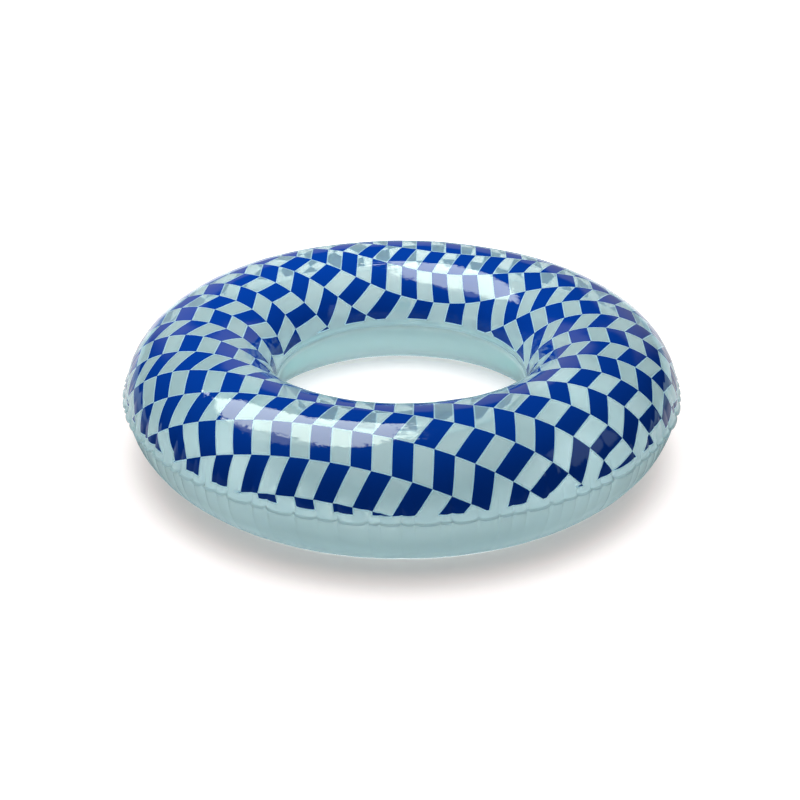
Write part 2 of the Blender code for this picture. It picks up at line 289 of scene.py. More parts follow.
def neighbours(turn):
    """For each turn: the pinch before it, the one after it, the way from one to the other, and their gap."""
    turns = pinches()[0]
    after = np.searchsorted(turns, np.mod(turn, 2 * math.pi)) % len(turns)
    before = (after - 1) % len(turns)
    gap = np.mod(turns[after] - turns[before], 2 * math.pi)
    return before, after, np.mod(turn - turns[before], 2 * math.pi) / gap, gap


def pucker_shift(turn, run, side):
    """How far the puckers move a film: outwards along its normal, outwards on the level, and up.

    Between two pinches the seam swells out and hangs in a lobe, 1 minus the 2.6th power of the distance from
    its middle, which dies away with the run. At a pinch a sharp crease, e to the minus distance over width,
    draws the film in along its normal. It widens and fades with the run. On the lower film, which is drawn
    tight just below the seam, it is shallower and narrower and runs further. Both films flare out at the lip.
    """
    size = settings().pucker
    edge = settings().ring.outer_diameter / 2
    _, depths, reaches = pinches()
    before, after, way, gap = neighbours(turn)
    lobe = 1.0 - np.abs(2.0 * way - 1.0) ** 2.6
    broad = np.minimum(gap * edge / 0.036, 1.25)
    far = 1.0 if side == UP else 1.8
    wide = size.crease + (0.10 if side == UP else 0.03) * run
    crease = np.zeros(np.broadcast(turn, run).shape)
    for pinch, distance in ((before, way * gap * edge), (after, (1.0 - way) * gap * edge)):
        # The 0.3 under the root rounds the bottom of the crease, and the one before it keeps its depth.
        near = np.exp(0.3 - np.sqrt((distance / wide) ** 2 + 0.3 ** 2))
        crease = crease + depths[pinch] * near * np.exp(-run / (far * reaches[pinch]))
    taut = 1.0 if side == UP else 1.0 - 0.56 * smooth(run, 0.0, 0.012)
    normal = -size.pinch * crease * taut
    out = size.swell * broad * lobe * np.exp(-run / (0.016 if side == UP else 0.009))
    out = out + size.flare * np.exp(-run / 0.0045)
    out = out + 0.0007 * lobe * np.exp(-run / (0.05 if side == UP else 0.015))
    up = size.lift * np.exp(-run / 0.018) - size.hang * broad * (lobe - 0.25) * np.exp(-run / 0.011)
    return normal, out, up


def valve_frame():
    """The valve's frame as rows: its origin on the pad's outer face, x along the tube, y across, z out."""
    radius, height, out, up = smooth_film(VALVE_TURN, np.array(VALVE_RUN), DOWN)
    z = np.array([0.0, float(out), float(up)])
    x = np.array([1.0, 0.0, 0.0])
    origin = np.array([0.0, float(radius), float(height)]) - PAD_DEPTH * z
    return np.array([origin, x, np.cross(z, x), z])


def film_points(turn, run, side):
    """The outer face of a film: the smooth one moved by its puckers and a faint unevenness.

    The lower film is pressed onto the valve's pad, fully within its radius and less and less beyond.
    """
    turn, run = np.broadcast_arrays(turn, run)
    radius, height, out, up = smooth_film(turn, run, side)
    normal, level, rise = pucker_shift(turn, run, side)
    off_foot = smooth(height, 0.0, 0.02)
    # Long soft waves, two crossing pairs of sines, stand for the film's uneven stretch.
    wave = 0.00028 * np.sin(9 * turn + 30 * run) * np.sin(21 * run + 2.0)
    wave = wave + 0.00020 * np.sin(23 * turn - 44 * run + 1.0) * np.sin(13 * run + 4 * turn)
    normal = (normal + wave * smooth(run, 0.0, 0.03)) * off_foot
    radius = radius + normal * out + level * off_foot
    height = height + normal * up + rise * off_foot
    points = round_hole(turn, radius, height)
    if side == DOWN:
        origin, *axes = valve_frame()
        level, across, proud = np.moveaxis((points - origin) @ np.stack(axes, axis=-1), -1, 0)
        share = 1.0 - smooth(np.hypot(level, across), PAD_RADIUS, PAD_PULL * PAD_RADIUS)
        share = share * (np.abs(proud) < 0.03)
        points = points - (share * proud)[..., None] * axes[2]
    return points


def column_turns(column, run):
    """The turn of a column, drawn towards the pinches by minus a sine at the seam and even far from it."""
    turns = pinches()[0]
    pinch = column // COLUMNS_PER_PUCKER
    way = column / COLUMNS_PER_PUCKER - pinch
    start = turns[pinch - 1] - np.where(pinch == 0, 2 * math.pi, 0.0)
    drawn = start + (turns[pinch] - start) * (way - 0.62 * np.sin(2 * math.pi * way) / (2 * math.pi))
    even = start + (turns[pinch] - start) * way
    return drawn + (even - drawn) * smooth(run, 0.04, 0.12)


def net_rows():
    """The column step and run of each row of a film's net. The step doubles twice between the seams."""
    edge = half_girth()
    inner = np.linspace(MIDDLE_RUNS[-1], edge - 0.0003, INNER_ROWS + 1)[1:]
    return [(step, run) for step, runs in ((1, FINE_RUNS), (2, MIDDLE_RUNS), (4, inner)) for run in runs]


def film_net():
    """Turn and run of each point of a film's net, its quads and triangles, and each row's first point."""
    count = settings().pucker.count * COLUMNS_PER_PUCKER
    turns, runs, quads, triangles, starts = [], [], [], [], []
    rows = net_rows()
    total = 0
    for step, run in rows:
        columns = np.arange(0, count, step)
        starts.append(total)
        total += len(columns)
        turns.append(column_turns(columns, run))
        runs.append(np.full(len(columns), run))
    for (step, _), (next_step, _), start, next_start in zip(rows, rows[1:], starts, starts[1:]):
        near = count // step
        far = count // next_step
        k = np.arange(far)
        if step == next_step:
            ahead = (k + 1) % far
            quads.append(np.stack([start + k, start + ahead, next_start + ahead, next_start + k], axis=1))
        else:
            first, middle, last = start + 2 * k, start + 2 * k + 1, start + (2 * k + 2) % near
            here, ahead = next_start + k, next_start + (k + 1) % far
            triangles.append(np.stack([first, middle, here], axis=1))
            triangles.append(np.stack([middle, last, ahead], axis=1))
            triangles.append(np.stack([middle, ahead, here], axis=1))
    return *(np.concatenate(blocks) for blocks in (turns, runs, quads, triangles)), starts


def add_piece(name, points, faces, body, node, slot, maps=None):
    """Makes a smooth mesh of points and blocks of faces in place of a CAD node, with its body and finish."""
    mesh = bpy.data.meshes.new(name)
    mesh.from_pydata(points.tolist(), [], [face for block in faces for face in block.tolist()])
    mesh.polygons.foreach_set("use_smooth", np.ones(len(mesh.polygons), dtype=bool))
    corners = np.empty(len(mesh.loops), dtype=np.int32)
    mesh.loops.foreach_get("vertex_index", corners)
    for label, values in (maps or {}).items():
        layer = mesh.uv_layers.new(name=label)
        layer.uv.foreach_set("vector", values[corners].astype(np.float32).ravel())
    mesh.update()
    obj = bpy.data.objects.new(name, mesh)
    bpy.context.scene.collection.objects.link(obj)
    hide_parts(node)
    if body:
        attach(obj, body)
    mesh.materials.append(slot_material(slot))
    return obj


def give_wall(obj):
    """Thickens a film inwards from its outer face."""
    wall = obj.modifiers.new("wall", "SOLIDIFY")
    wall.thickness = settings().ring.film
    wall.offset = -1.0


def sheet_map(turn, run):
    """Where a point of the inflated film lay on the flat sheet, as shares of the sheet's span.

    The flat radius is a constant, plus the distance from the inner seam, plus a small square of it, plus the
    off-centre and oval of the cut, cosines and sines of the turn and of twice the turn. The flat angle is the
    turn less a small cosine and sine.
    """
    unit = settings().ring.outer_diameter / 2
    s = (half_girth() - run) / unit
    radius = 0.3553 + 0.8936 * s + 0.0275 * s * s
    radius = radius + (0.0044 + 0.0037 * s) * np.cos(turn) + (0.0025 * s - 0.0168) * np.sin(turn)
    radius = radius - 0.0028 * np.cos(2 * turn) - 0.0008 * np.sin(2 * turn)
    angle = turn - 0.0344 * np.cos(turn) - 0.0040 * np.sin(turn) - 0.0016 * (s - 0.4)
    scale = unit / 0.8936 / SHEET_SPAN
    return np.stack([0.5 + scale * radius * np.cos(angle), 0.5 + scale * radius * np.sin(angle)], axis=1)


def seam_map(turn, run):
    """The turn as a share of the full round, and the run as a share of the half girth."""
    return np.stack([turn / (2 * math.pi), run / half_girth()], axis=1)


def outward(points, quads, *others):
    """The blocks of faces, turned round if the quads' volume, a sum of cones from the origin, is negative."""
    a, b, c, d = (points[quads[:, i]] for i in range(4))
    volume = np.einsum("ij,ij->", a, np.cross(b, c)) + np.einsum("ij,ij->", a, np.cross(c, d))
    blocks = [quads, *others]
    return blocks if volume > 0 else [block[:, ::-1] for block in blocks]


def swept(sections, closed=True):
    """A closed profile carried round a closed path, or along an open one with a face at each end.

    The sections are points shaped path by profile by 3. They come back in one row, with blocks of faces.
    """
    path, profile = sections.shape[:2]
    i, j = np.meshgrid(np.arange(path if closed else path - 1), np.arange(profile), indexing="ij")
    ahead, beside = (i + 1) % path, (j + 1) % profile
    corners = (i * profile + j, ahead * profile + j, ahead * profile + beside, i * profile + beside)
    points = sections.reshape(-1, 3)
    rim = np.arange(profile)[None, :]
    ends = [] if closed else [rim, (len(points) - profile + rim)[:, ::-1]]
    return points, outward(points, np.stack(corners, axis=-1).reshape(-1, 4), *ends)


def rounded(profile, radius, steps=4):
    """A closed outline with each corner rounded by a parabola, from radius before it to radius after it."""
    corner = np.asarray(profile, dtype=float)
    to_last = np.roll(corner, 1, axis=0) - corner
    to_next = np.roll(corner, -1, axis=0) - corner
    last, following = np.linalg.norm(to_last, axis=1), np.linalg.norm(to_next, axis=1)
    cut = np.minimum(radius, 0.45 * np.minimum(last, following))[:, None]
    first = corner + to_last / last[:, None] * cut
    end = corner + to_next / following[:, None] * cut
    t = np.linspace(0.0, 1.0, steps)[None, :, None]
    arc = (1 - t) ** 2 * first[:, None] + 2 * t * (1 - t) * corner[:, None] + t * t * end[:, None]
    return arc.reshape(-1, 2)


def turned_points(profile):
    """An outline of radius and height carried round the valve's axis: points shaped turn by outline by 3."""
    turn = np.arange(TURNED_STEPS)[:, None] * 2 * math.pi / TURNED_STEPS
    rows = valve_frame()
    return rows[0] + round_hole(turn, profile[None, :, 0], profile[None, :, 1]) @ rows[1:]


def turned(profile):
    """A closed outline of radius and height turned about the valve's axis."""
    return swept(turned_points(profile))


def turned_solid(profile):
    """An outline of radius and height, from the foot of the valve's axis round to its head, turned about it.

    Each end is one point on the axis, joined to its neighbours by a fan of triangles.
    """
    origin, _, _, z = valve_frame()
    wall = turned_points(profile[1:-1])
    steps, count = wall.shape[:2]
    points = np.concatenate([wall.reshape(-1, 3), origin + profile[[0, -1], 1:] * z])
    k = np.arange(steps)
    after = (k + 1) % steps
    start, ahead = k[:, None] * count + np.arange(count - 1), after[:, None] * count + np.arange(count - 1)
    quads = np.stack([start, ahead, ahead + 1, start + 1], axis=-1).reshape(-1, 4)
    foot = np.stack([np.full(steps, steps * count), after * count, k * count], axis=1)
    head = np.stack([np.full(steps, steps * count + 1), (k + 1) * count - 1, (after + 1) * count - 1], axis=1)
    return points, [quads, foot, head]


class Shader:
    """Adds nodes to a material's tree and links sockets or plain values into them."""

    def __init__(self, tree):
        self.tree = tree

    def feed(self, socket, value):
        if isinstance(value, bpy.types.NodeSocket):
            self.tree.links.new(value, socket)
        elif hasattr(socket.default_value, "__len__") and len(socket.default_value) == 4 and len(value) == 3:
            socket.default_value = (*value, 1.0)
        else:
            socket.default_value = value

    def node(self, kind, inputs=None, **options):
        made = self.tree.nodes.new(kind)
        for key, value in options.items():
            setattr(made, key, value)
        for key, value in (inputs or {}).items():
            self.feed(made.inputs[key], value)
        return made

    def math(self, operation, *values):
        return self.node("ShaderNodeMath", dict(enumerate(values)), operation=operation).outputs[0]

    def times(self, product, *factors):
        """The product of all the values."""
        for factor in factors:
            product = self.math("MULTIPLY", product, factor)
        return product

    def total(self, base, *layers):
        """The base plus each mask times its share."""
        for mask, share in layers:
            base = self.math("MULTIPLY_ADD", mask, share, base)
        return base

    def choose(self, switch, off, on):
        """off where the switch is 0 and on where it is 1."""
        return self.math("MULTIPLY_ADD", switch, self.math("SUBTRACT", on, off), off)

    def band(self, value, start, end):
        """0 before start and 1 after end, eased."""
        inputs = {"Value": value, "From Min": start, "From Max": end}
        return self.node("ShaderNodeMapRange", inputs, interpolation_type="SMOOTHSTEP").outputs[0]

    def strip(self, value, rise, fall):
        """1 between two eased edges, each given as where it is 0 and where it is 1."""
        return self.times(self.band(value, *rise), self.band(value, *fall))

    def place(self, kind="Object"):
        return self.node("ShaderNodeTexCoord").outputs[kind]

    def split(self, vector):
        return self.node("ShaderNodeSeparateXYZ", {0: vector}).outputs

    def noise(self, vector, scale, detail=1.0):
        inputs = {"Vector": vector, "Scale": scale, "Detail": detail}
        return self.node("ShaderNodeTexNoise", inputs).outputs["Fac"]

    def bump(self, height, strength, distance):
        inputs = {"Height": height, "Strength": strength, "Distance": distance}
        return self.node("ShaderNodeBump", inputs).outputs["Normal"]

    def mix(self, factor, first, second):
        inputs = {"Factor": factor, 6: first, 7: second}
        return self.node("ShaderNodeMix", inputs, data_type="RGBA").outputs[2]

    def blend(self, factor, first, second):
        return self.node("ShaderNodeMixShader", {0: factor, 1: first, 2: second}).outputs[0]

    def glow(self, tint, strength):
        return self.node("ShaderNodeEmission", {"Color": tint, "Strength": strength}).outputs[0]


def empty_tree(owner, kind):
    """The owner, its shader builder and its output's surface socket, with nothing else in its tree."""
    owner.use_nodes = True
    owner.node_tree.nodes.clear()
    shader = Shader(owner.node_tree)
    return owner, shader, shader.node("ShaderNodeOutput" + kind).inputs["Surface"]


def new_material(name):
    return empty_tree(bpy.data.materials.new(name), "Material")


def film_bump(shader):
    """A normal for thin film: long soft swells, and patches of fine creasing where it isn't drawn tight."""
    place = shader.place()
    swells = shader.noise(place, 24.0)
    fine = shader.noise(place, 170.0)
    patches = shader.band(shader.noise(place, 13.0), 0.50, 0.66)
    height = shader.math("MULTIPLY_ADD", shader.times(fine, patches), 0.045, swells)
    return shader.bump(height, 0.5, 0.0008)


def film_surface(shader, base, clear, glow, normal, roughness):
    """A glossy film: a milky body that also lets light through, and a clear share under the same gloss.

    The wall's far face adds nothing, so the two faces together act as one thin sheet.
    """
    gloss = shader.node("ShaderNodeBsdfAnisotropic", {"Roughness": roughness, "Normal": normal}).outputs[0]
    milky = shader.node("ShaderNodeBsdfDiffuse", {"Color": base, "Normal": normal}).outputs[0]
    lit_through = shader.node("ShaderNodeBsdfTranslucent", {"Color": base}).outputs[0]
    through = shader.node("ShaderNodeBsdfTransparent", {"Color": (0.985, 0.99, 0.99)}).outputs[0]
    fresnel = shader.node("ShaderNodeFresnel", {"IOR": 1.53, "Normal": normal}).outputs[0]
    body = shader.blend(clear, shader.blend(glow, milky, lit_through), through)
    sheet = shader.blend(fresnel, body, gloss)
    behind = shader.node("ShaderNodeNewGeometry").outputs["Backfacing"]
    skipped = shader.node("ShaderNodeBsdfTransparent", {"Color": (1.0, 1.0, 1.0)}).outputs[0]
    return shader.blend(behind, sheet, skipped)


def zigzag_check(shader):
    """Masks of the print: 1 in the blue cells, and 1 on the pale line beside them.

    On the flat sheet, v counts the slanting rows and u the cells along a row. Even rows lean a little and odd
    rows by a whole cell, so the cells' sides join into zigzags. A cell is blue where its row and column
    numbers add up to an even number. The line lies in the pale cells, and past the ends of the blue ones
    where the print stops.
    """
    size = settings().print
    sheet = shader.split(shader.node("ShaderNodeUVMap", uv_map="flat_sheet").outputs[0])
    x, y = (shader.math("MULTIPLY_ADD", sheet[i], SHEET_SPAN, -SHEET_SPAN / 2) for i in (0, 1))
    v = shader.math("MULTIPLY_ADD", x, ROW_SLOPE, shader.math("SUBTRACT", y, CHECK_ORIGIN[1]))
    v = shader.math("DIVIDE", v, size.row)
    row = shader.math("FLOOR", v)
    pair = shader.math("FLOOR", shader.times(row, 0.5))
    odd = shader.math("MULTIPLY_ADD", pair, -2.0, row)
    slant = shader.math("MULTIPLY_ADD", odd, ODD_LEAN - EVEN_LEAN, EVEN_LEAN)
    shift = shader.math("MULTIPLY_ADD", pair, EVEN_LEAN + ODD_LEAN, shader.times(odd, EVEN_LEAN))
    shift = shader.math("MULTIPLY_ADD", slant, shader.math("FRACT", v), shift)
    u = shader.math("SUBTRACT", shader.math("SUBTRACT", x, CHECK_ORIGIN[0]), shift)
    u = shader.math("DIVIDE", u, size.cell)
    number = shader.math("ADD", shader.math("FLOOR", u), row)
    blue = shader.math("LESS_THAN", shader.math("FLOORED_MODULO", number, 2.0), 0.5)
    # How far a point is from a cell's side and from its end, measured square to their slant.
    side = shader.times(shader.math("PINGPONG", u, 0.5), 0.93 * size.cell)
    end = shader.times(shader.math("PINGPONG", v, 0.5), 0.96 * size.row)
    girth = half_girth()
    run = shader.times(shader.split(shader.node("ShaderNodeUVMap", uv_map="seam_run").outputs[0])[1], girth)
    outer = shader.math("SUBTRACT", run, size.outer_margin)
    inner = shader.math("SUBTRACT", girth - size.inner_margin, run)
    margin = shader.math("MINIMUM", outer, inner)
    printed = shader.math("GREATER_THAN", margin, 0.0)
    between = shader.math("LESS_THAN", shader.math("MINIMUM", side, end), size.outline)
    between = shader.times(between, shader.math("SUBTRACT", 1.0, blue))
    past = shader.times(shader.math("GREATER_THAN", margin, -size.outline), blue)
    return shader.times(blue, printed), shader.choose(printed, past, between)


def printed_film_material():
    """Clear, slightly milky PVC with the zigzag check in opaque blue ink."""
    finish = settings().finish
    material, shader, surface = new_material("printed film")
    blue, line = zigzag_check(shader)
    base = shader.mix(line, shader.mix(blue, tuple(finish.pale), tuple(finish.ink)), tuple(finish.outline))
    ink = shader.times(blue, shader.math("SUBTRACT", 1.0, line))
    open_share = shader.math("SUBTRACT", 1.0, ink)
    clear = shader.times(open_share, shader.math("MULTIPLY_ADD", line, -0.32, 0.42))
    glow = shader.times(open_share, 0.65)
    shader.feed(surface, film_surface(shader, base, clear, glow, film_bump(shader), 0.03))
    return material


def plain_film_material():
    """The unprinted film of the lower side."""
    material, shader, surface = new_material("plain film")
    base = tuple(settings().finish.film)
    shader.feed(surface, film_surface(shader, base, 0.36, 0.62, film_bump(shader), 0.06))
    return material


def lip_material():
    """Two films fused into one: milkier than either, with the fine ribs of the welding bar."""
    material, shader, surface = new_material("welded lip")
    normal = shader.bump(shader.noise(shader.place(), 700.0), 0.3, 0.0004)
    shader.feed(surface, film_surface(shader, tuple(settings().finish.lip), 0.35, 0.60, normal, 0.16))
    return material


def moulded_material():
    """The valve's soft PVC: satin, slightly see-through at its thin edges, with faint flow marks."""
    material, shader, surface = new_material("moulded valve")
    place = shader.place()
    marks = shader.noise(place, 420.0, 3.0)
    dark = tuple(0.9 * part for part in settings().finish.moulded)
    light = tuple(min(1.0, 1.08 * part) for part in settings().finish.moulded)
    tinted = shader.mix(shader.noise(place, 160.0), dark, light)
    normal = shader.bump(marks, 0.25, 0.0003)
    rough = shader.node("ShaderNodeMapRange", {"Value": marks, "To Min": 0.24, "To Max": 0.36}).outputs[0]
    shader.feed(surface, film_surface(shader, tinted, 0.42, 0.55, normal, rough))
    return material


SLOT_MATERIALS = {
    "printed_film": printed_film_material,
    "plain_film": plain_film_material,
    "welded_lip": lip_material,
    "moulded_valve": moulded_material,
}


def slot_material(slot):
    """The slot's material, named as the slot is but in words, made when it is first asked for."""
    return bpy.data.materials.get(slot.replace("_", " ")) or SLOT_MATERIALS[slot]()


class SWIMRING_OT_upper_film(bpy.types.Operator):
    """Adds the printed upper film, from the outer seam over the crown to the inner one"""

    bl_idname = "swim_ring.upper_film"
    bl_label = "Upper Film"

    def execute(self, context):
        turn, run, quads, triangles, _ = film_net()
        points = film_points(turn, run, UP)
        maps = {"flat_sheet": sheet_map(turn, run), "seam_run": seam_map(turn, run)}
        faces = [quads, triangles]
        piece = add_piece("ring_upper_film", points, faces, "ring", "upper_film", "printed_film", maps)
        give_wall(piece)
        return {"FINISHED"}


def open_for_valve(turn, run, quads, starts):
    """Cuts a window from the middle band round the valve and fills it with rings that close in on its hole.

    The rings blend from the window's edge to a circle in turn and run, and are true circles on the flat pad.
    Returns every point's turn and run, the quads, the index of the first circle's points and their angles.
    """
    rows = net_rows()
    count = settings().pucker.count * COLUMNS_PER_PUCKER // 2
    low = next(i for i, (step, at) in enumerate(rows) if step == 2 and at > VALVE_RUN - WINDOW_REACH[0])
    high = next(i for i, (_, at) in enumerate(rows) if at > VALVE_RUN + WINDOW_REACH[1])
    middle = int(np.argmin(np.abs(turn[starts[low]:starts[low] + count] - VALVE_TURN)))
    near, far = middle - WINDOW_HALF, middle + WINDOW_HALF
    covered = np.zeros(len(turn), dtype=bool)
    for row in range(low, high + 1):
        covered[starts[row] + near:starts[row] + far + 1] = True
    quads = quads[~covered[quads].all(axis=1)]
    loop = np.concatenate(
        [
            starts[low] + np.arange(near, far),
            np.array(starts[low:high]) + far,
            starts[high] + np.arange(far, near, -1),
            np.array(starts[high:low:-1]) + near,
        ]
    )
    across = (turn[loop] - VALVE_TURN) * VALVE_DISTANCE
    down = run[loop] - VALVE_RUN
    angle = np.arctan2(down, across)
    reach = np.hypot(across, down)
    radii = [PAD_RADIUS + share * (reach - PAD_RADIUS) for share in WINDOW_RINGS]
    radii += [np.full(len(loop), radius) for radius in PAD_RINGS]
    previous = loop
    added_turn, added_run, added_quads = [], [], []
    total = len(turn)
    ahead = np.roll(np.arange(len(loop)), -1)
    for radius in radii:
        ring = total + np.arange(len(loop))
        total += len(loop)
        added_turn.append(VALVE_TURN + radius * np.cos(angle) / VALVE_DISTANCE)
        added_run.append(VALVE_RUN + radius * np.sin(angle))
        added_quads.append(np.stack([previous, previous[ahead], ring[ahead], ring], axis=1))
        previous = ring
    pad_start = total - len(PAD_RINGS) * len(loop)
    turn = np.concatenate([turn, *added_turn])
    run = np.concatenate([run, *added_run])
    return turn, run, np.concatenate([quads, *added_quads]), pad_start, angle


class SWIMRING_OT_lower_film(bpy.types.Operator):
    """Adds the plain lower film, with its flat foot and the flat pad and round hole that take the valve"""

    bl_idname = "swim_ring.lower_film"
    bl_label = "Lower Film"

    def execute(self, context):
        turn, run, quads, triangles, starts = film_net()
        turn, run, quads, pad_start, angle = open_for_valve(turn, run, quads, starts)
        points = film_points(turn, run, DOWN)
        origin, x, y, _ = valve_frame()
        radius = np.repeat(PAD_RINGS, len(angle))[:, None]
        around = np.tile(angle, len(PAD_RINGS))[:, None]
        # A growing turn runs against the valve's x, and a growing run along its y.
        points[pad_start:] = origin - radius * np.cos(around) * x + radius * np.sin(around) * y
        used = np.unique(np.concatenate([quads.ravel(), triangles.ravel()]))
        number = np.full(len(points), -1)
        number[used] = np.arange(len(used))
        maps = {"seam_run": seam_map(turn, run)[used]}
        faces = [number[quads][:, ::-1], number[triangles][:, ::-1]]
        piece = add_piece("ring_lower_film", points[used], faces, "ring", "lower_film", "plain_film", maps)
        give_wall(piece)
        return {"FINISHED"}


def drooping_lip(turn, radius, height, droop, low, high):
    """A flat rounded profile from low to high, turned down by an angle and carried round the hole."""
    half = settings().ring.lip_thickness / 2
    outline = rounded([(low, half), (low, -half), (high, -half), (high, half)], LIP_ROUND, 3)
    along, thick = outline[None, :, 0], outline[None, :, 1]
    out = along * np.cos(droop) + thick * np.sin(droop)
    up = thick * np.cos(droop) - along * np.sin(droop)
    return swept(round_hole(turn, radius + out, height + up))


class SWIMRING_OT_outer_lip(bpy.types.Operator):
    """Adds the fused strip at the outer seam, which droops over the lower film between its pinches"""

    bl_idname = "swim_ring.outer_lip"
    bl_label = "Outer Lip"

    def execute(self, context):
        """The lip carried round the puckered seam and turned down, further on the lobes."""
        size = settings().ring
        count = settings().pucker.count * COLUMNS_PER_PUCKER
        turn = column_turns(np.arange(count), 0.0)[:, None]
        normal, out, rise = pucker_shift(turn, np.zeros_like(turn), UP)
        _, _, way, _ = neighbours(turn)
        droop = 0.72 + 0.20 * (1.0 - np.abs(2.0 * way - 1.0) ** 2)
        radius = size.outer_diameter / 2 + normal + out
        height = size.tube_height / 2 - size.foot_cut + rise
        points, faces = drooping_lip(turn, radius, height, droop, -LIP_ROOT, size.outer_lip)
        add_piece("ring_outer_lip", points, faces, "ring", "outer_weld", "welded_lip")
        return {"FINISHED"}


class SWIMRING_OT_inner_lip(bpy.types.Operator):
    """Adds the fused strip in the hole, drawn tight"""

    bl_idname = "swim_ring.inner_lip"
    bl_label = "Inner Lip"

    def execute(self, context):
        """The lip carried round the inner seam and turned down against the lower film, with a faint waver."""
        size = settings().ring
        turn = np.arange(INNER_LIP_STEPS)[:, None] * 2 * math.pi / INNER_LIP_STEPS
        droop = 1.30 + 0.08 * np.sin(17 * turn) * np.sin(5 * turn + 1.0)
        radius = size.outer_diameter / 2 - size.tube_width
        height = size.tube_height / 2 - size.foot_cut
        points, faces = drooping_lip(turn, radius, height, -droop, -size.inner_lip, LIP_ROOT)
        add_piece("ring_inner_lip", points, faces, "ring", "inner_weld", "welded_lip")
        return {"FINISHED"}


class SWIMRING_OT_valve_turnings(bpy.types.Operator):
    """Adds the valve's turned pieces: the flange in the film, the blow-in stem and the plug"""

    bl_idname = "swim_ring.valve_turnings"
    bl_label = "Valve Turnings"

    def execute(self, context):
        """Each is an outline of radius and height with rounded corners, turned about the valve's axis."""
        flange = [
            (0.0094, FLANGE_TOP), (0.0094, -0.0014), (0.0130, -0.0014), (0.0180, -0.0010),
            (0.0180, FLANGE_TOP),
        ]
        stem = [
            (0.0042, STEM_TOP), (0.0042, STEM_FOOT), (0.0060, STEM_FOOT), (0.0060, COLLAR_FOOT),
            (0.0067, COLLAR_FOOT), (0.0067, -0.0072), (0.0060, -0.0072), (0.0060, -0.0002),
            (0.0071, 0.0004), (0.0071, STEM_TOP),
        ]
        plug = [
            (0.0, -0.0047), (0.0033, -0.0047), (0.0039, -0.0027), (0.0039, PLUG_SEAT), (0.0065, PLUG_SEAT),
            (0.0065, 0.0038), (0.0052, 0.0038), (0.0046, 0.0034), (0.0, 0.0034),
        ]
        # The plug's two ends lie on the axis and stay sharp.
        steps = 4
        plug_outline = np.array([plug[0], *rounded(plug, 0.0005, steps)[steps:-steps], plug[-1]])
        pieces = (
            ("flange_disc", *turned(rounded(flange, 0.0003)), "ring", "valve_flange"),
            ("blow_in_stem", *turned(rounded(stem, 0.0003)), "valve_stem", "valve_stem"),
            ("stopper", *turned_solid(plug_outline), "valve_plug", "valve_plug"),
        )
        for piece in pieces:
            add_piece(*piece, "moulded_valve")
        return {"FINISHED"}


class SWIMRING_OT_valve_sleeve(bpy.types.Operator):
    """Adds the soft sleeve between flange and stem"""

    bl_idname = "swim_ring.valve_sleeve"
    bl_label = "Valve Sleeve"

    def execute(self, context):
        """A thin wall from the flange's bore to the stem's collar, turned about the valve's axis."""
        way = np.linspace(0.0, 1.0, 24)
        radius = 0.0091 - 0.0021 * way ** 1.5
        height = FLANGE_TOP - 0.0002 + (COLLAR_FOOT + 0.0008 - FLANGE_TOP) * way
        outer = np.stack([radius, height], axis=1)
        inner = np.stack([radius - 0.0005 * (1.0 - 0.5 * way), height + 0.0002], axis=1)[::-1]
        points, faces = turned(np.concatenate([outer, inner]))
        piece = add_piece("turning_sleeve", points, faces, None, "valve_sleeve", "moulded_valve")
        origin, _, _, z = valve_frame()
        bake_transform(piece)
        return {"FINISHED"}


class SWIMRING_OT_plug_strap(bpy.types.Operator):
    """Adds the strap that keeps the plug on the stem"""

    bl_idname = "swim_ring.plug_strap"
    bl_label = "Plug Strap"

    def execute(self, context):
        """A rounded flat profile carried along a cubic teardrop, wider at the rim and at the plug's head."""
        origin, x, y, z = valve_frame()
        t = np.linspace(0.0, 1.0, 49)[:, None]
        corners = np.array([(0.0073, 0.00095), (0.0198, 0.00095), (0.0193, 0.0078), (0.0067, 0.0028)])
        weights = np.concatenate([(1 - t) ** 3, 3 * t * (1 - t) ** 2, 3 * t * t * (1 - t), t ** 3], axis=1)
        path = weights @ corners
        ahead = np.gradient(path, axis=0)
        ahead[0], ahead[-1] = (1.0, 0.0), (-1.0, 0.0)
        ahead = ahead / np.linalg.norm(ahead, axis=1)[:, None]
        beside = np.stack([-ahead[:, 1], ahead[:, 0]], axis=1)
        outline = rounded([(-0.5, -0.5), (0.5, -0.5), (0.5, 0.5), (-0.5, 0.5)], 0.2)
        level = (0.0036 + 0.0014 * np.abs(2 * t - 1) ** 6) * outline[None, :, 0]
        thick = 0.0008 * outline[None, :, 1]
        local_x = path[:, :1] + beside[:, :1] * thick
        local_z = path[:, 1:] + beside[:, 1:] * thick
        sections = origin + local_x[..., None] * x + level[..., None] * y + local_z[..., None] * z
        points, faces = swept(sections, closed=False)
        piece = add_piece("stopper_strap", points, faces, None, "plug_strap", "moulded_valve")
        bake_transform(piece)
        return {"FINISHED"}


class SWIMRING_OT_check_flap(bpy.types.Operator):
    """Gives the check flap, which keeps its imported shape, the moulded finish"""

    bl_idname = "swim_ring.check_flap"
    bl_label = "Check Flap"

    def execute(self, context):
        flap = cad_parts["check_flap"]
        flap.data.materials.clear()
        flap.data.materials.append(slot_material("moulded_valve"))
        return {"FINISHED"}


